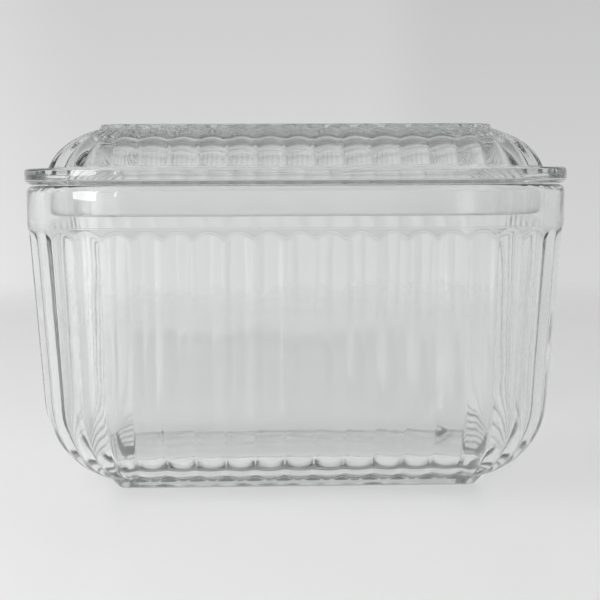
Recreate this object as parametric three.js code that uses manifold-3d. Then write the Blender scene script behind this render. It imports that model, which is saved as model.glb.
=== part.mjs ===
// A pressed glass butter dish in two loose pieces: a deep reeded dish and a domed reeded lid.
//
// Millimetres. +X runs along the dish, -Y is its front, +Z is up. The origin is in the middle
// of the foot, on the surface that the dish stands on.
//
// In plan every level of both pieces is a rounded rectangle. All of them share the same four
// corner centres, so a level is given by its corner radius alone, and half its length is
// CORNER_X + radius. A convex reed keeps its place on the straight stretches from top to
// bottom, and fans out from the corner centre on the corners.
import * as THREE from "three";
import { mergeVertices } from "three/addons/utils/BufferGeometryUtils.js";
import Module from "manifold-3d";

// Plan: where the corner centres are.
const CORNER_X = 49.5;
const CORNER_Y = 22.8;
const CORNER_STEPS = 8;

// Dish, from the foot up. Every A value is half the outside length at that level.
const DISH_HEIGHT = 90.1;
const FOOT_A = 54.3;
const FOOT_TOP_A = 57.2;
const FOOT_HEIGHT = 3.6;
const FOOT_ROUNDING = 0.6;
const RECESS_A = 51.2;
const RECESS_DEPTH = 1.2;
const RECESS_DRAFT = 0.6;
const BELLY_RADIUS = 26.3;
const BELLY_TOP = 26.2;
const BELLY_TOP_A = 75.4;
const BELLY_STEPS = 6;
const BELLY_END_ANGLE = 75;
const WALL_DRAFT = 4.1;
const WALL_TOP = 79;
const COLLAR_A = 79.5;
const COLLAR_BOTTOM = 78.2;
const COLLAR_DRAFT = 0.15;
const COLLAR_UNDERCUT_HEIGHT = 4.3;
const COLLAR_UNDERCUT = 1.3;
const RIM_ROUNDING = 2.1;
const RIM_STEPS = 3;

// Inside of the dish.
const FLOOR_TOP = 7;
const CAVITY_FILLET = 20.4;
const CAVITY_FILLET_A = 70.8;
const CAVITY_STEPS = 6;
const CAVITY_TOP_A = 75;
const LIP_ROUNDING = 0.9;

// Reeds: how many there are round each piece, and how deep the valleys between them are. On
// the dish they are shallow on the wall and deepen down the belly to the foot.
const DISH_REEDS = 56;
const LID_REEDS = 54;
const WALL_REED_DEPTH = 0.65;
const FOOT_REED_DEPTH = 0.7;
const DOME_REED_DEPTH = 1.2;
const REED_STEPS = 4;

// Lid. Its underside is at LID_BASE, a hair above the rim that it rests on.
const REST_GAP = 0.3;
const LID_BASE = DISH_HEIGHT + REST_GAP;
const LID_TOP = 107.8;
const FLANGE_A = 80;
const FLANGE_THICKNESS = 4.6;
const FLANGE_TOP_ROUNDING = 0.8;
const FLANGE_BOTTOM_ROUNDING = 1.3;
const FLANGE_UNDERSIDE_A = 77.9;
const DOME_A = 73.2;
const DOME_SHOULDER_A = 70.2;
const DOME_SHOULDER = 103.2;
const DOME_TOP_A = 58.1;
const DOME_TOP = 106.5;
const DOME_STEPS = 6;
const PLATFORM_A = 57.4;
const PLATFORM_ROOT = 103.6;
const PLATFORM_ROOT_A = 58.9;
const PLATFORM_ROUNDING = 0.4;
const SKIRT_A = 72.9;
const SKIRT_BOTTOM = 81.3;
const SKIRT_DRAFT = 0.5;
const SKIRT_ROUNDING = 0.8;
const SKIRT_WALL = 3.6;
const CEILING = 101.6;
const CEILING_A = 55.5;
const HOLLOW_SHOULDER_A = 66.3;
const HOLLOW_SPRING = 92.6;
const HOLLOW_STEPS = 5;

const QUARTER = Math.PI / 2;

// The rectangle through the corner centres, side by side from the front and counter-clockwise.
const SIDES = [
  { x: -CORNER_X, y: -CORNER_Y, length: 2 * CORNER_X },
  { x: CORNER_X, y: -CORNER_Y, length: 2 * CORNER_Y },
  { x: CORNER_X, y: CORNER_Y, length: 2 * CORNER_X },
  { x: -CORNER_X, y: CORNER_Y, length: 2 * CORNER_Y },
];

// The point at a distance along the plan outline, from the left end of the front's straight
// stretch towards +X, and the outward direction there. The distance is measured on the
// outline of radius `measured`; the point lies straight across from it, on the outline of
// radius `radius`.
function planPoint(distance, measured, radius) {
  const corner = measured * QUARTER;
  let left = distance;
  let side = 0;
  while (side < 3 && left > SIDES[side].length + corner) {
    left -= SIDES[side].length + corner;
    side += 1;
  }
  const { x, y, length } = SIDES[side];
  const heading = side * QUARTER;
  const along = Math.min(left, length);
  const facing = heading - QUARTER + Math.max(left - length, 0) / measured;
  const normal = new THREE.Vector2(Math.cos(facing), Math.sin(facing));
  const point = new THREE.Vector2(x + along * Math.cos(heading), y + along * Math.sin(heading));
  return { point: point.addScaledVector(normal, radius), normal };
}

function perimeter(radius) {
  return 4 * CORNER_X + 4 * CORNER_Y + 4 * QUARTER * radius;
}

// One level of a smooth piece: half its length and its height.
function smoothSection([halfLength, z]) {
  const radius = halfLength - CORNER_X;
  const points = [];
  SIDES.forEach(({ x, y }, corner) => {
    for (let step = 0; step <= CORNER_STEPS; step += 1) {
      const angle = (corner + 2 + step / CORNER_STEPS) * QUARTER;
      points.push(new THREE.Vector3(x + radius * Math.cos(angle), y + radius * Math.sin(angle), z));
    }
  });
  return points;
}

// One level of a reeded piece. The crests of the reeds lie on the outline, and the valleys
// between them are pressed in along the surface's own normal, which points `tilt` below the
// horizontal. A reed that narrows on its way round a corner gets shallower with its width.
function reededSection({ halfLength, z, tilt, depth }, reeds, measured) {
  const radius = halfLength - CORNER_X;
  const around = perimeter(measured);
  const pitch = around / reeds;
  const at = (reed) => planPoint((reed * pitch + CORNER_X + around) % around, measured, radius);
  const points = [];
  for (let reed = 0; reed < reeds; reed += 1) {
    const width = at(reed - 0.5).point.distanceTo(at(reed + 0.5).point);
    for (let step = 0; step < REED_STEPS; step += 1) {
      const across = step / REED_STEPS;
      const { point, normal } = at(reed - 0.5 + across);
      const valley = depth * Math.min(width / pitch, 1) * (2 * across - 1) ** 2;
      points.push(
        new THREE.Vector3(
          point.x - normal.x * Math.cos(tilt) * valley,
          point.y - normal.y * Math.cos(tilt) * valley,
          z + Math.sin(tilt) * valley,
        ),
      );
    }
  }
  return points;
}

// A closed solid through a stack of sections, from the lowest to the highest.
function loft(sections) {
  const count = sections[0].length;
  const vertices = sections.flat();
  const bottomCentre = vertices.length;
  vertices.push(new THREE.Vector3(0, 0, sections[0][0].z));
  const topCentre = vertices.length;
  vertices.push(new THREE.Vector3(0, 0, sections[sections.length - 1][0].z));
  const triangles = [];
  for (let level = 0; level < sections.length - 1; level += 1) {
    for (let i = 0; i < count; i += 1) {
      const a = level * count + i;
      const b = level * count + ((i + 1) % count);
      triangles.push(a, b, b + count, a, b + count, a + count);
    }
  }
  const last = (sections.length - 1) * count;
  for (let i = 0; i < count; i += 1) {
    const next = (i + 1) % count;
    triangles.push(bottomCentre, next, i);
    triangles.push(topCentre, last + i, last + next);
  }
  const geometry = new THREE.BufferGeometry();
  const coordinates = vertices.flatMap((vertex) => vertex.toArray());
  geometry.setAttribute("position", new THREE.Float32BufferAttribute(coordinates, 3));
  geometry.setIndex(triangles);
  return geometry;
}

const smoothLoft = (levels) => loft(levels.map(smoothSection));

// Points on an arc about (centre A, centre z), from one angle to another in degrees above the
// horizontal, as [half length, height].
function arc(centreA, centreZ, radius, from, to, steps) {
  const points = [];
  for (let step = 0; step <= steps; step += 1) {
    const angle = THREE.MathUtils.degToRad(from + ((to - from) * step) / steps);
    points.push([centreA + radius * Math.cos(angle), centreZ + radius * Math.sin(angle)]);
  }
  return points;
}

// Points on a quadratic curve from start to end, drawn towards the shoulder between them.
function shouldered(start, shoulder, end, steps) {
  const curve = new THREE.QuadraticBezierCurve(
    new THREE.Vector2(...start),
    new THREE.Vector2(...shoulder),
    new THREE.Vector2(...end),
  );
  return curve.getPoints(steps).map((p, i) => {
    const tangent = curve.getTangent(i / steps);
    return { halfLength: p.x, z: p.y, tilt: Math.atan2(tangent.x, tangent.y) };
  });
}

const wasm = await Module();
wasm.setup();

function toSolid(geometry) {
  const merged = mergeVertices(geometry, 1e-4);
  return new wasm.Manifold(
    new wasm.Mesh({
      numProp: 3,
      vertProperties: merged.attributes.position.array,
      triVerts: new Uint32Array(merged.index.array),
    }),
  );
}

function toGeometry(solid) {
  const mesh = solid.getMesh();
  const geometry = new THREE.BufferGeometry();
  geometry.setAttribute("position", new THREE.BufferAttribute(mesh.vertProperties, 3));
  geometry.setIndex(new THREE.BufferAttribute(mesh.triVerts, 1));
  return geometry;
}

// The reeded wall of the dish and the belly that it curves into, as a solid block.
function dishBody() {
  const draft = THREE.MathUtils.degToRad(WALL_DRAFT);
  const centreA = BELLY_TOP_A - BELLY_RADIUS * Math.cos(draft);
  const centreZ = BELLY_TOP + BELLY_RADIUS * Math.sin(draft);
  const belly = arc(centreA, centreZ, BELLY_RADIUS, -BELLY_END_ANGLE, -WALL_DRAFT, BELLY_STEPS);
  const levels = belly.map(([halfLength, z]) => ({
    halfLength,
    z,
    tilt: Math.asin((centreZ - z) / BELLY_RADIUS),
    depth: THREE.MathUtils.lerp(FOOT_REED_DEPTH, WALL_REED_DEPTH, z / BELLY_TOP),
  }));
  const wallTopA = BELLY_TOP_A + (WALL_TOP - BELLY_TOP) * Math.tan(draft);
  levels.push({ halfLength: wallTopA, z: WALL_TOP, tilt: draft, depth: WALL_REED_DEPTH });
  const measured = wallTopA - CORNER_X;
  return loft(levels.map((level) => reededSection(level, DISH_REEDS, measured)));
}

// The smooth collar and rim, undercut where the reeds run up into it.
function dishCollar() {
  return smoothLoft([
    [COLLAR_A - COLLAR_DRAFT - COLLAR_UNDERCUT, COLLAR_BOTTOM - COLLAR_UNDERCUT_HEIGHT],
    [COLLAR_A - COLLAR_DRAFT, COLLAR_BOTTOM],
    ...arc(COLLAR_A - RIM_ROUNDING, DISH_HEIGHT - RIM_ROUNDING, RIM_ROUNDING, 0, 90, RIM_STEPS),
  ]);
}

function dishFoot() {
  return smoothLoft([
    [FOOT_A - FOOT_ROUNDING, 0],
    [FOOT_A, FOOT_ROUNDING],
    [FOOT_TOP_A, FOOT_HEIGHT],
  ]);
}

// The shallow hollow inside the foot, which leaves a ring to stand on.
function footRecess() {
  return smoothLoft([
    [RECESS_A, -1],
    [RECESS_A, 0],
    [RECESS_A - RECESS_DRAFT, RECESS_DEPTH],
  ]);
}

// The smooth inside of the dish.
function dishCavity() {
  const centreA = CAVITY_FILLET_A - CAVITY_FILLET;
  const centreZ = FLOOR_TOP + CAVITY_FILLET;
  return smoothLoft([
    ...arc(centreA, centreZ, CAVITY_FILLET, -90, 0, CAVITY_STEPS),
    [CAVITY_TOP_A, DISH_HEIGHT - LIP_ROUNDING],
    [CAVITY_TOP_A + LIP_ROUNDING, DISH_HEIGHT],
    [CAVITY_TOP_A + LIP_ROUNDING, DISH_HEIGHT + 1],
  ]);
}

function makeDish() {
  const outside = toSolid(dishBody()).add(toSolid(dishCollar())).add(toSolid(dishFoot()));
  return toGeometry(outside.subtract(toSolid(dishCavity())).subtract(toSolid(footRecess())));
}

// The reeded dome of the lid, as a solid block that starts inside the flange.
function lidDome() {
  const flangeTop = LID_BASE + FLANGE_THICKNESS;
  const levels = shouldered(
    [DOME_A, flangeTop],
    [DOME_SHOULDER_A, DOME_SHOULDER],
    [DOME_TOP_A, DOME_TOP],
    DOME_STEPS,
  ).map((level) => ({ ...level, depth: DOME_REED_DEPTH }));
  levels.unshift({ ...levels[0], z: flangeTop - 1 });
  const measured = DOME_A - CORNER_X;
  return loft(levels.map((level) => reededSection(level, LID_REEDS, measured)));
}

function lidPlatform() {
  return smoothLoft([
    [PLATFORM_ROOT_A, PLATFORM_ROOT],
    [PLATFORM_A, LID_TOP - PLATFORM_ROUNDING],
    [PLATFORM_A - PLATFORM_ROUNDING, LID_TOP],
  ]);
}

// The flange that rests on the rim of the dish.
function lidFlange() {
  const top = LID_BASE + FLANGE_THICKNESS;
  return smoothLoft([
    [FLANGE_UNDERSIDE_A, LID_BASE],
    [FLANGE_A - FLANGE_BOTTOM_ROUNDING / 3, LID_BASE + FLANGE_BOTTOM_ROUNDING / 3],
    [FLANGE_A, LID_BASE + FLANGE_BOTTOM_ROUNDING],
    [FLANGE_A, top - FLANGE_TOP_ROUNDING],
    [FLANGE_A - FLANGE_TOP_ROUNDING, top],
  ]);
}

// The skirt that reaches down inside the rim and keeps the lid in place.
function lidSkirt() {
  return smoothLoft([
    [SKIRT_A - SKIRT_DRAFT - SKIRT_ROUNDING, SKIRT_BOTTOM],
    [SKIRT_A - SKIRT_DRAFT, SKIRT_BOTTOM + SKIRT_ROUNDING],
    [SKIRT_A, LID_BASE + 1],
  ]);
}

// The smooth hollow under the dome, open at the bottom of the skirt.
function lidHollow() {
  const mouthA = SKIRT_A - SKIRT_WALL;
  const dome = shouldered(
    [mouthA - SKIRT_DRAFT, HOLLOW_SPRING],
    [HOLLOW_SHOULDER_A, CEILING],
    [CEILING_A, CEILING],
    HOLLOW_STEPS,
  ).map(({ halfLength, z }) => [halfLength, z]);
  return smoothLoft([[mouthA, SKIRT_BOTTOM - 1], [mouthA, SKIRT_BOTTOM], ...dome]);
}

function makeLid() {
  const outside = toSolid(lidDome())
    .add(toSolid(lidPlatform()))
    .add(toSolid(lidFlange()))
    .add(toSolid(lidSkirt()));
  return toGeometry(outside.subtract(toSolid(lidHollow())));
}

// Clear pressed glass, very slightly grey.
function glass(name) {
  return new THREE.MeshStandardMaterial({
    name,
    color: 0xd9dddb,
    roughness: 0.06,
    metalness: 0,
    transparent: true,
    opacity: 0.45,
  });
}

function piece(name, geometry) {
  geometry.computeVertexNormals();
  const mesh = new THREE.Mesh(geometry, glass(`${name}_glass`));
  mesh.name = name;
  return mesh;
}

const butterDish = new THREE.Group();
butterDish.add(piece("dish", makeDish()));
butterDish.add(piece("lid", makeLid()));

export default butterDish;
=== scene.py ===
import math

import bpy
import numpy as np
from mathutils import Matrix, Vector


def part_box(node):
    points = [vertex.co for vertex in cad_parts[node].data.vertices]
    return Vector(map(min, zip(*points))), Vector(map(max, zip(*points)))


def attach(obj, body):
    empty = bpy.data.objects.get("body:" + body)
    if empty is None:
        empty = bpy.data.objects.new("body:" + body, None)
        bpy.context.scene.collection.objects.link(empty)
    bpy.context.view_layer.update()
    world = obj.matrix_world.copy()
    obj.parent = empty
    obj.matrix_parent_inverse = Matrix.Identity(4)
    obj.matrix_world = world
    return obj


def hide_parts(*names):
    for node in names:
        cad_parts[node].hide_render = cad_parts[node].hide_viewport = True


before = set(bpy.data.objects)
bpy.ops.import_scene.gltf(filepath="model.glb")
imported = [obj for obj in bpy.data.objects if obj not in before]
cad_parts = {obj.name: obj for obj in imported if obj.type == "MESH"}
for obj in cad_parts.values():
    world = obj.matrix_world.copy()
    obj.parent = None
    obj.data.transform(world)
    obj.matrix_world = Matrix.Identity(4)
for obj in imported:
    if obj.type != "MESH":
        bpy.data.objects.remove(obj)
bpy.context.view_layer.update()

# A clear pressed glass butter dish: a deep reeded dish and a loose, domed, reeded lid.
# Both pieces are rebuilt here as fine smooth meshes on the CAD model's own dimensions, so
# that light bends through them as it does through real glass.
#
# Shapes are in millimetres, with profiles as (half length, height) and profile corners as
# (half length, height, radius). Meshes, lamps and the camera are in metres.

MM = 0.001

_, DISH_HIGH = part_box("dish")
LID_LOW, LID_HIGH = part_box("lid")

# Plan: every level is a rounded rectangle about the same four corner centres.
DISH_A = DISH_HIGH.x / MM
DISH_B = DISH_HIGH.y / MM
RIM_CORNER_RADIUS = 30.0
CORNER_X = DISH_A - RIM_CORNER_RADIUS
CORNER_Y = DISH_B - RIM_CORNER_RADIUS

# The smallest level with rounded corners of its own. Levels inside it are scaled from it.
FLAT_A = 50.2
OPENING_SCALES = (0.1, 0.3, 0.5, 0.7, 0.85, 0.95)
CLOSING_SCALES = OPENING_SCALES[::-1]

# Reeds: convex columns round both pieces, pressed a little unevenly.
DISH_REEDS = 56
LID_REEDS = 54
WALL_REED_DEPTH = 0.65
FOOT_REED_DEPTH = 0.7
LID_REED_DEPTH = 1.2
REED_UNEVENNESS = 0.06
COLUMNS_PER_REED = 12

# Dish, outside. The belly is an arc from a steep angle at the foot to the lean of the wall.
RECESS_DEPTH = 1.2
WALL_DRAFT = math.radians(4.1)
BELLY_START_DEGREES = -73.5
BELLY_RADIUS = 26.3
BELLY_TOP = 26.2
BELLY_TOP_A = 75.4
BELLY_CENTRE_A = BELLY_TOP_A - BELLY_RADIUS * math.cos(WALL_DRAFT)
BELLY_CENTRE_Z = BELLY_TOP + BELLY_RADIUS * math.sin(WALL_DRAFT)
WALL_TOP = 79.0
COLLAR_BOTTOM = 78.2
COLLAR_A = DISH_A - 0.15
COLLAR_UNDERCUT = 0.3
COLLAR_BLEND = 0.25
RIM_RADIUS = 2.1
DISH_TOP = DISH_HIGH.z / MM

# Dish, inside.
MOUTH_A = 75.0
INNER_A = 70.8
INNER_Z = 27.4
INNER_FLOOR_A = 48.0
INNER_FLOOR_Z = 7.0

# Lid.
REST_GAP = 0.3
FLANGE_THICKNESS = 4.6
SKIRT_THICKNESS = 3.6
LID_A = LID_HIGH.x / MM
LID_TOP = LID_HIGH.z / MM
LID_BASE = DISH_TOP + REST_GAP
FLANGE_TOP = LID_BASE + FLANGE_THICKNESS
SKIRT_BOTTOM = LID_LOW.z / MM
SKIRT_A = 72.9
SKIRT_INNER_A = SKIRT_A - SKIRT_THICKNESS
HOLLOW_BOTTOM = 92.6
HOLLOW_TOP = 101.6
DOME_A = 73.2


# ---------------------------------------------------------------- plan and reeds

def side_table():
    """The rectangle through the corner centres: start of each side, its heading, its length."""
    return [
        (-CORNER_X, -CORNER_Y, 0.0, 2 * CORNER_X),
        (CORNER_X, -CORNER_Y, 0.5 * math.pi, 2 * CORNER_Y),
        (CORNER_X, CORNER_Y, math.pi, 2 * CORNER_X),
        (-CORNER_X, CORNER_Y, 1.5 * math.pi, 2 * CORNER_Y),
    ]


def plan(distance, measured):
    """Core points and outward directions at distances along the outline of radius `measured`.

    The point of any other outline lies at core + radius * direction.
    """
    corner = measured * math.pi / 2
    around = 4 * (CORNER_X + CORNER_Y + corner)
    distance = np.mod(distance, around)
    core = np.zeros((len(distance), 2))
    direction = np.zeros((len(distance), 2))
    start = 0.0
    for x, y, heading, length in side_table():
        here = (distance >= start) & (distance < start + length + corner)
        left = distance[here] - start
        along = np.minimum(left, length)
        facing = heading - math.pi / 2 + np.maximum(left - length, 0) / measured
        core[here] = np.stack(
            [x + along * math.cos(heading), y + along * math.sin(heading)], axis=1
        )
        direction[here] = np.stack([np.cos(facing), np.sin(facing)], axis=1)
        start += length + corner
    return core, direction


class Reeds:
    """The columns of one piece, and how deep its valleys are pressed in at each column."""

    def __init__(self, count, depth, measured, seed):
        self.count = count
        self.depth = depth
        self.measured = measured
        around = 4 * (CORNER_X + CORNER_Y) + 2 * math.pi * measured
        self.pitch = around / count
        rng = np.random.default_rng(seed)
        self.unevenness = rng.normal(0, REED_UNEVENNESS, count)
        place = np.arange(count * COLUMNS_PER_REED) / COLUMNS_PER_REED - 0.5
        self.core, self.direction = plan(place * self.pitch + CORNER_X, measured)
        self.reed = np.floor(place + 0.5).astype(int) % count
        across = place + 0.5 - np.floor(place + 0.5)
        self.section = (2 * across - 1) ** 2

    def valleys(self, radius):
        """How far each column lies below the crests, on the outline of that radius."""
        edge = np.arange(self.count + 1) - 0.5
        core, direction = plan(edge * self.pitch + CORNER_X, self.measured)
        edges = core + radius * direction
        width = np.linalg.norm(np.diff(edges, axis=0), axis=1)
        depth = self.depth * np.minimum(width / self.pitch, 1) * (1 + self.unevenness)
        return depth[self.reed] * self.section


# ---------------------------------------------------------------- profiles

def fillet(before, corner, after, radius, steps=5):
    """The arc of that radius that rounds the corner between two straight stretches."""
    before, corner, after = (np.array(p, float) for p in (before, corner, after))
    back = (before - corner) / np.linalg.norm(before - corner)
    on = (after - corner) / np.linalg.norm(after - corner)
    half = math.acos(float(np.clip(back @ on, -1, 1))) / 2
    reach = radius / math.tan(half)
    start = corner + back * reach
    centre = corner + (back + on) / np.linalg.norm(back + on) * radius / math.sin(half)
    end = corner + on * reach
    first = math.atan2(*(start - centre)[::-1])
    last = math.atan2(*(end - centre)[::-1])
    turn = (last - first + math.pi) % (2 * math.pi) - math.pi
    angles = first + turn * np.linspace(0, 1, steps + 1)
    return [(centre[0] + radius * math.cos(t), centre[1] + radius * math.sin(t)) for t in angles]


def between(start, end, step):
    """Points that split a straight stretch, without its ends."""
    start, end = np.array(start), np.array(end)
    count = int(np.linalg.norm(end - start) // step)
    return [tuple(start + (end - start) * k / (count + 1)) for k in range(1, count + 1)]


def rounded(knots, step=2.5):
    """A profile through knots (a, z, radius), with each corner rounded and each stretch split."""
    points = []
    for i, (a, z, radius) in enumerate(knots):
        if radius and 0 < i < len(knots) - 1:
            corner = fillet(knots[i - 1][:2], (a, z), knots[i + 1][:2], radius)
        else:
            corner = [(a, z)]
        if points:
            points.extend(between(points[-1], corner[0], step))
        points.extend(corner)
    return points


def arc(centre_a, centre_z, radius, first, last, steps):
    """Points on an arc between two angles in degrees above the horizontal."""
    angles = np.radians(np.linspace(first, last, steps + 1))
    return [(centre_a + radius * math.cos(t), centre_z + radius * math.sin(t)) for t in angles]


def shouldered(start, shoulder, end, steps):
    """Points on a quadratic curve drawn towards the shoulder."""
    start, shoulder, end = (np.array(p, float) for p in (start, shoulder, end))
    t = np.linspace(0, 1, steps + 1)[:, None]
    curve = (1 - t) ** 2 * start + 2 * t * (1 - t) * shoulder + t**2 * end
    return [tuple(p) for p in curve]


def eased(start, first, second, end, steps):
    """Points on a cubic curve with those two handles."""
    start, first, second, end = (np.array(p, float) for p in (start, first, second, end))
    t = np.linspace(0, 1, steps + 1)[:, None]
    near = (1 - t) ** 3 * start + 3 * t * (1 - t) ** 2 * first
    far = 3 * t**2 * (1 - t) * second + t**3 * end
    return [tuple(p) for p in near + far]


def tilts(points):
    """How far each profile point's outward normal dips below the horizontal."""
    slope = np.gradient(np.array(points), axis=0)
    return np.arctan2(slope[:, 0], slope[:, 1])


def soft_max(first, second, blend):
    """The larger of two values, with the corner between them eased over `blend`."""
    near = np.clip(0.5 + 0.5 * (first - second) / blend, 0, 1)
    return second + (first - second) * near + blend * near * (1 - near)


# ---------------------------------------------------------------- rings to mesh

def ring_at(reeds, out, z):
    """A level that lies `out` beyond the corner centres, at that height."""
    points = reeds.core + out[:, None] * reeds.direction
    return np.column_stack([points, np.broadcast_to(z, len(points))])


def smooth_ring(reeds, a, z):
    """A level with no reeds."""
    return ring_at(reeds, np.full(len(reeds.core), a - CORNER_X), z)


def reeded_ring(reeds, a, z, tilt, weight=1.0):
    """A level whose crests lie on the profile and whose valleys are pressed in."""
    drop = weight * reeds.valleys(a - CORNER_X)
    return ring_at(reeds, a - CORNER_X - drop * math.cos(tilt), z + drop * math.sin(tilt))


def scaled_ring(ring, scale, z):
    """A ring drawn in towards the middle, at a height of its own."""
    return np.column_stack([ring[:, :2] * scale, np.full(len(ring), z)])


def centre_rings(ring, scales):
    """Rings that close a flat face in towards its middle."""
    return [scaled_ring(ring, scale, ring[0, 2]) for scale in scales]


def skin(name, rings):
    """A closed mesh through a stack of rings whose first and last close in to a point."""
    columns = len(rings[0])
    levels = len(rings)
    first = rings[0].mean(axis=0)
    last = rings[-1].mean(axis=0)
    points = np.vstack([np.concatenate(rings), first, last]) * MM
    level, column = np.meshgrid(np.arange(levels - 1), np.arange(columns), indexing="ij")
    after = (column + 1) % columns
    quads = np.stack(
        [
            level * columns + column,
            level * columns + after,
            (level + 1) * columns + after,
            (level + 1) * columns + column,
        ],
        axis=-1,
    ).reshape(-1, 4)
    here = np.arange(columns)
    after = (here + 1) % columns
    start, end = levels * columns, levels * columns + 1
    opening = np.stack([np.full(columns, start), after, here], axis=1)
    closing = np.stack(
        [np.full(columns, end), (levels - 1) * columns + here, (levels - 1) * columns + after],
        axis=1,
    )
    mesh = bpy.data.meshes.new(name)
    mesh.from_pydata(points.tolist(), [], quads.tolist() + opening.tolist() + closing.tolist())
    mesh.validate()
    mesh.polygons.foreach_set("use_smooth", [True] * len(mesh.polygons))
    mesh.update()
    piece = bpy.data.objects.new(name, mesh)
    bpy.context.scene.collection.objects.link(piece)
    return piece


# ---------------------------------------------------------------- the dish

def foot_rings(reeds):
    """The recess under the foot, and the ring that the dish stands on."""
    under = rounded(
        [
            (FLAT_A, RECESS_DEPTH, 0),
            (50.7, RECESS_DEPTH, 0.35),
            (51.2, 0.0, 0.3),
            (53.9, 0.0, 0.6),
            (56.45, 2.75, 0),
        ],
        step=0.9,
    )
    recess = smooth_ring(reeds, FLAT_A, RECESS_DEPTH)
    return centre_rings(recess, OPENING_SCALES) + [smooth_ring(reeds, a, z) for a, z in under]


def belly_rings(reeds):
    """The round turn from the foot into the wall, with reeds that deepen towards the foot."""
    first, last = BELLY_START_DEGREES, -math.degrees(WALL_DRAFT)
    rings = []
    for a, z in arc(BELLY_CENTRE_A, BELLY_CENTRE_Z, BELLY_RADIUS, first, last, steps=26):
        tilt = math.asin((BELLY_CENTRE_Z - z) / BELLY_RADIUS)
        weight = 1 + (FOOT_REED_DEPTH / WALL_REED_DEPTH - 1) * max(0, 1 - z / BELLY_TOP)
        rings.append(reeded_ring(reeds, a, z, tilt, weight))
    return rings


def wall_rings(reeds):
    """The leaning reeded wall, which ends under the collar in an arch to each reed."""
    coarse = np.linspace(29.0, 73.0, 9)
    fine = np.linspace(74.0, COLLAR_BOTTOM - 0.1, 17)
    rings = []
    for z in np.concatenate([coarse, fine]):
        a = BELLY_TOP_A + (z - BELLY_TOP) * math.tan(WALL_DRAFT)
        wall = a - CORNER_X - reeds.valleys(a - CORNER_X)
        shelf = COLLAR_A - CORNER_X - (COLLAR_BOTTOM - z) * COLLAR_UNDERCUT
        rings.append(ring_at(reeds, soft_max(wall, np.full_like(wall, shelf), COLLAR_BLEND), z))
    return rings


def rim_rings(reeds):
    """The smooth collar and the rounded outer edge of the rim."""
    collar = rounded(
        [
            (COLLAR_A - 0.2, COLLAR_BOTTOM - 0.1, 0),
            (COLLAR_A, COLLAR_BOTTOM + 0.15, 0.3),
            (DISH_A, DISH_TOP - 2.3, 0),
        ]
    )
    rim = arc(DISH_A - RIM_RADIUS, DISH_TOP - RIM_RADIUS, RIM_RADIUS, 8, 90, 8)
    return [smooth_ring(reeds, a, z) for a, z in collar[1:] + rim]


def inside_rings(reeds):
    """The top of the rim, the smooth inner wall, and the round turn into the inner floor."""
    wall = rounded(
        [
            (DISH_A - 3.0, DISH_TOP, 0),
            (MOUTH_A, DISH_TOP, 0.9),
            (INNER_A, INNER_Z, 0),
        ],
        step=9.0,
    )
    turn = eased(
        (INNER_A, INNER_Z),
        (INNER_A, 14.2),
        (60.0, INNER_FLOOR_Z),
        (INNER_FLOOR_A, INNER_FLOOR_Z),
        steps=24,
    )
    edge = smooth_ring(reeds, FLAT_A, INNER_FLOOR_Z)
    rings = [smooth_ring(reeds, a, z) for a, z in wall]
    rings += [smooth_ring(reeds, a, z) for a, z in turn[1:] if a > FLAT_A]
    rings += [scaled_ring(edge, a / FLAT_A, z) for a, z in turn if a <= FLAT_A]
    return rings + centre_rings(edge, CLOSING_SCALES[1:])


def make_dish():
    """From the middle of the recess out under the foot, up the outside and down the inside."""
    # The reeds are spaced evenly along the top of the wall.
    wall_top_a = BELLY_TOP_A + (WALL_TOP - BELLY_TOP) * math.tan(WALL_DRAFT)
    reeds = Reeds(DISH_REEDS, WALL_REED_DEPTH, wall_top_a - CORNER_X, seed=5)
    rings = foot_rings(reeds) + belly_rings(reeds) + wall_rings(reeds) + rim_rings(reeds)
    return skin("dish_glass_body", rings + inside_rings(reeds))


# ---------------------------------------------------------------- the lid

def hollow_rings(reeds):
    """The flat ceiling inside the lid, and the curve down to the skirt."""
    ceiling = smooth_ring(reeds, FLAT_A, HOLLOW_TOP)
    curve = shouldered(
        (55.5, HOLLOW_TOP), (66.3, HOLLOW_TOP), (SKIRT_INNER_A - 0.5, HOLLOW_BOTTOM), steps=14
    )
    rings = centre_rings(ceiling, OPENING_SCALES)
    rings += [ceiling, smooth_ring(reeds, 53.0, HOLLOW_TOP)]
    return rings + [smooth_ring(reeds, a, z) for a, z in curve]


def skirt_rings(reeds):
    """The skirt that drops inside the rim of the dish, and the flange that rests on it."""
    skirt = rounded(
        [
            (SKIRT_INNER_A - 0.5, HOLLOW_BOTTOM, 0),
            (SKIRT_INNER_A, SKIRT_BOTTOM, 0.7),
            (SKIRT_A - 0.5, SKIRT_BOTTOM, 0.8),
            (SKIRT_A, LID_BASE, 0.5),
            (LID_A - 1.3, LID_BASE, 0.4),
            (LID_A, LID_BASE + 1.0, 0.9),
            (LID_A, FLANGE_TOP, 0.8),
            (DOME_A + 0.3, FLANGE_TOP, 0),
        ],
        step=1.5,
    )
    return [smooth_ring(reeds, a, z) for a, z in skirt[1:]]


def dome_rings(reeds):
    """The reeded dome, with reeds that start a little shallower on the flange and fade on top."""
    dome = shouldered((DOME_A, FLANGE_TOP), (70.2, 103.2), (58.1, 106.5), steps=24)
    levels = list(zip(dome, tilts(dome)))
    (start_a, start_z), _ = levels[0]
    (end_a, end_z), end_tilt = levels[-1]
    rings = [reeded_ring(reeds, start_a, start_z + 0.1, 0.0, 0.9)]
    rings += [reeded_ring(reeds, a, z, tilt) for (a, z), tilt in levels[1:-1]]
    return rings + [reeded_ring(reeds, end_a, end_z, end_tilt, 0.6)]


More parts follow.
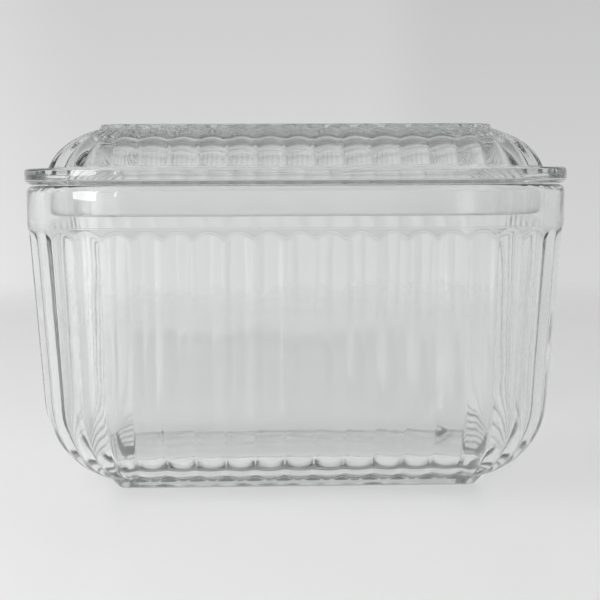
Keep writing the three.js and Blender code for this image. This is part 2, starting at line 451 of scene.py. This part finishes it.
def platform_rings(reeds):
    """The raised flat top."""
    edge = rounded(
        [
            (58.0, 106.65, 0),
            (57.4, LID_TOP, 0.4),
            (FLAT_A, LID_TOP, 0),
        ]
    )
    top = smooth_ring(reeds, FLAT_A, LID_TOP)
    return [smooth_ring(reeds, a, z) for a, z in edge] + centre_rings(top, CLOSING_SCALES)


def make_lid():
    """From the middle of the ceiling down the inside, round the skirt and up the outside."""
    reeds = Reeds(LID_REEDS, LID_REED_DEPTH, DOME_A - CORNER_X, seed=11)
    rings = hollow_rings(reeds) + skirt_rings(reeds) + dome_rings(reeds)
    return skin("lid_glass_body", rings + platform_rings(reeds))


# ---------------------------------------------------------------- materials

def node_material(name):
    """A new material, its node tree, and the two nodes it starts with."""
    material = bpy.data.materials.new(name)
    material.use_nodes = True
    tree = material.node_tree
    return material, tree, tree.nodes["Principled BSDF"], tree.nodes["Material Output"]


def map_range(tree, value, start, end, before, after, smooth=False):
    """A value that goes from `before` to `after` while its input goes from start to end."""
    node = tree.nodes.new("ShaderNodeMapRange")
    node.interpolation_type = "SMOOTHSTEP" if smooth else "LINEAR"
    node.inputs["From Min"].default_value = start
    node.inputs["From Max"].default_value = end
    node.inputs["To Min"].default_value = before
    node.inputs["To Max"].default_value = after
    tree.links.new(value, node.inputs["Value"])
    return node.outputs["Result"]


def noise(tree, place, scale, detail):
    """Cloudy noise, with `scale` clouds to the metre."""
    node = tree.nodes.new("ShaderNodeTexNoise")
    node.inputs["Scale"].default_value = scale
    node.inputs["Detail"].default_value = detail
    tree.links.new(place, node.inputs["Vector"])
    return node.outputs["Fac"]


def bump(tree, height, distance, normal=None):
    """A normal bent by a height of that many metres."""
    node = tree.nodes.new("ShaderNodeBump")
    node.inputs["Strength"].default_value = 1.0
    node.inputs["Distance"].default_value = distance
    tree.links.new(height, node.inputs["Height"])
    if normal is not None:
        tree.links.new(normal, node.inputs["Normal"])
    return node.outputs["Normal"]


def glass_material(name, seed):
    """Clear pressed glass: slow ripples, fine orange peel, and a little haze here and there.

    Light reaches the table through it as through a thin grey pane, so its shadow is pale.
    """
    material, tree, shader, output = node_material(name)
    shader.inputs["Base Color"].default_value = (0.985, 0.988, 0.987, 1)
    shader.inputs["Transmission Weight"].default_value = 1.0
    shader.inputs["IOR"].default_value = 1.51
    own = tree.nodes.new("ShaderNodeTexCoord")
    shift = tree.nodes.new("ShaderNodeMapping")
    shift.inputs["Location"].default_value = (0.13 * seed, 0.29 * seed, 0.07 * seed)
    tree.links.new(own.outputs["Object"], shift.inputs["Vector"])
    place = shift.outputs["Vector"]

    ripples = bump(tree, noise(tree, place, scale=55.0, detail=1.0), distance=0.00035)
    grain = noise(tree, place, scale=420.0, detail=2.0)
    peel = bump(tree, grain, distance=0.000006, normal=ripples)
    tree.links.new(peel, shader.inputs["Normal"])

    cloud = noise(tree, place, scale=38.0, detail=4.0)
    haze = map_range(tree, cloud, start=0.45, end=0.75, before=0.04, after=0.10)
    tree.links.new(haze, shader.inputs["Roughness"])

    absorb = tree.nodes.new("ShaderNodeVolumeAbsorption")
    absorb.inputs["Color"].default_value = (0.80, 0.83, 0.82, 1)
    absorb.inputs["Density"].default_value = 18.0
    tree.links.new(absorb.outputs["Volume"], output.inputs["Volume"])

    path = tree.nodes.new("ShaderNodeLightPath")
    clear = tree.nodes.new("ShaderNodeBsdfTransparent")
    clear.inputs["Color"].default_value = (0.89, 0.89, 0.89, 1)
    mix = tree.nodes.new("ShaderNodeMixShader")
    tree.links.new(path.outputs["Is Shadow Ray"], mix.inputs[0])
    tree.links.new(shader.outputs["BSDF"], mix.inputs[1])
    tree.links.new(clear.outputs["BSDF"], mix.inputs[2])
    tree.links.new(mix.outputs["Shader"], output.inputs["Surface"])
    return material


def floor_material():
    """A pale glazed table top that fades out far from the dish."""
    material, tree, shader, _ = node_material("pale_floor")
    shader.inputs["Roughness"].default_value = 0.3
    place = tree.nodes.new("ShaderNodeTexCoord").outputs["Object"]
    cloud = noise(tree, place, scale=3.0, detail=3.0)
    tone = map_range(tree, cloud, start=0.0, end=1.0, before=0.74, after=0.77)
    tree.links.new(tone, shader.inputs["Base Color"])
    far = tree.nodes.new("ShaderNodeVectorMath")
    far.operation = "LENGTH"
    tree.links.new(place, far.inputs[0])
    fade = map_range(
        tree, far.outputs["Value"], start=0.45, end=0.88, before=1.0, after=0.0, smooth=True
    )
    tree.links.new(fade, shader.inputs["Alpha"])
    return material


# ---------------------------------------------------------------- stage, light, camera

def make_floor():
    """A round table top, just under the foot."""
    bpy.ops.mesh.primitive_circle_add(vertices=96, radius=0.9, fill_type="NGON")
    floor = bpy.context.object
    floor.name = "floor"
    floor.location.z = -0.0002
    floor.data.materials.append(floor_material())
    return floor


def make_lamp(name, kind, power, location, target):
    """A lamp at that place, turned to the target, and hidden from the glass."""
    light = bpy.data.lights.new(name, kind)
    light.energy = power
    lamp = bpy.data.objects.new(name, light)
    bpy.context.scene.collection.objects.link(lamp)
    lamp.location = location
    lamp.rotation_euler = (Vector(target) - lamp.location).to_track_quat("-Z", "Y").to_euler()
    lamp.visible_transmission = False
    lamp.visible_glossy = False
    return lamp


def make_area(name, location, size, target, power, in_gloss=False):
    """A soft rectangular light, which may show in the gloss of the glass."""
    lamp = make_lamp(name, "AREA", power, location, target)
    lamp.data.shape = "RECTANGLE"
    lamp.data.size, lamp.data.size_y = size
    lamp.visible_glossy = in_gloss
    return lamp


def make_sun(name, azimuth, elevation, spread, strength):
    """A small far light in front of the dish, which throws its shadow straight back."""
    around, up = math.radians(azimuth), math.radians(elevation)
    level = math.cos(up)
    towards = (-math.sin(around) * level, -math.cos(around) * level, math.sin(up))
    lamp = make_lamp(name, "SUN", strength, towards, (0, 0, 0))
    lamp.data.angle = math.radians(spread)
    return lamp


def make_world():
    """A smooth room whose tone depends only on the direction.

    It is palest at the horizon and below, and dims overhead, from lower down in front than
    behind. It is a little brighter to the left and dimmer to the right.
    """
    world = bpy.data.worlds.new("pale_room")
    world.use_nodes = True
    bpy.context.scene.world = world
    tree = world.node_tree
    background = tree.nodes["Background"]
    place = tree.nodes.new("ShaderNodeTexCoord")
    split = tree.nodes.new("ShaderNodeSeparateXYZ")
    tree.links.new(place.outputs["Generated"], split.inputs["Vector"])
    across, along, up = (split.outputs[axis] for axis in "XYZ")

    def combine(operation, first, second):
        node = tree.nodes.new("ShaderNodeMath")
        node.operation = operation
        for socket, value in zip(node.inputs, (first, second)):
            if isinstance(value, float):
                socket.default_value = value
            else:
                tree.links.new(value, socket)
        return node.outputs["Value"]

    leaning = combine("SUBTRACT", up, combine("MULTIPLY", along, 0.1))
    sweep = map_range(tree, leaning, start=0.10, end=0.55, before=0.72, after=0.38, smooth=True)
    left = map_range(tree, across, start=-0.22, end=-0.10, before=1.12, after=1.0, smooth=True)
    right = map_range(tree, across, start=0.08, end=0.14, before=1.0, after=0.92, smooth=True)
    rising = map_range(tree, up, start=-0.06, end=0.13, before=1.0, after=0.86)
    sides = combine("MULTIPLY", left, right)
    tone = combine("MULTIPLY", combine("MULTIPLY", sweep, sides), rising)
    tree.links.new(tone, background.inputs["Color"])


def make_camera():
    """A camera as high as the joint between dish and lid, a little to the left of the middle."""
    yaw = math.radians(1.74)
    distance = 0.434
    height = 0.0915
    down = math.radians(4.98)
    turn = math.radians(-0.22)
    roll = math.radians(-0.22)
    data = bpy.data.cameras.new("camera")
    data.sensor_width = 36
    data.lens = 82.74
    camera = bpy.data.objects.new("camera", data)
    bpy.context.scene.collection.objects.link(camera)
    camera.location = (-distance * math.sin(yaw), -distance * math.cos(yaw), height)
    aim = Matrix.Rotation(-yaw + turn, 4, "Z")
    pitch = Matrix.Rotation(math.pi / 2 - down, 4, "X")
    lean = Matrix.Rotation(roll, 4, "Z")
    camera.matrix_world = Matrix.Translation(camera.location) @ aim @ pitch @ lean
    bpy.context.scene.camera = camera
    return camera


def make_lights():
    """Tall windows at the front left, a fill from the left, and a small far key in front."""
    middle = (0, 0, 0.08)
    make_area(
        "window", (-0.72, -0.69, 0.345), size=(0.5, 0.55), target=middle, power=7.0, in_gloss=True
    )
    make_area(
        "window_edge", (-0.21, -0.98, 0.33), size=(0.04, 0.5), target=middle, power=0.4, in_gloss=True
    )
    make_area("left_fill", (-0.9, -0.2, 0.8), size=(0.8, 0.8), target=(0, 0, 0), power=3.7)
    make_sun("front_key", azimuth=-1.2, elevation=14.9, spread=1.6, strength=4.25)


# ---------------------------------------------------------------- build

make_camera()

dish = make_dish()
dish.data.materials.append(glass_material("dish_clear_glass", 1))
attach(dish, "dish")
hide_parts("dish")

lid = make_lid()
lid.data.materials.append(glass_material("lid_clear_glass", 2))
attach(lid, "lid")
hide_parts("lid")

make_floor()
make_world()
make_lights()

# Light crosses many glass surfaces one behind another, so it needs more bounces than usual.
scene = bpy.context.scene
scene.view_settings.view_transform = "Standard"
scene.cycles.max_bounces = 32
scene.cycles.transmission_bounces = 32
scene.cycles.glossy_bounces = 12
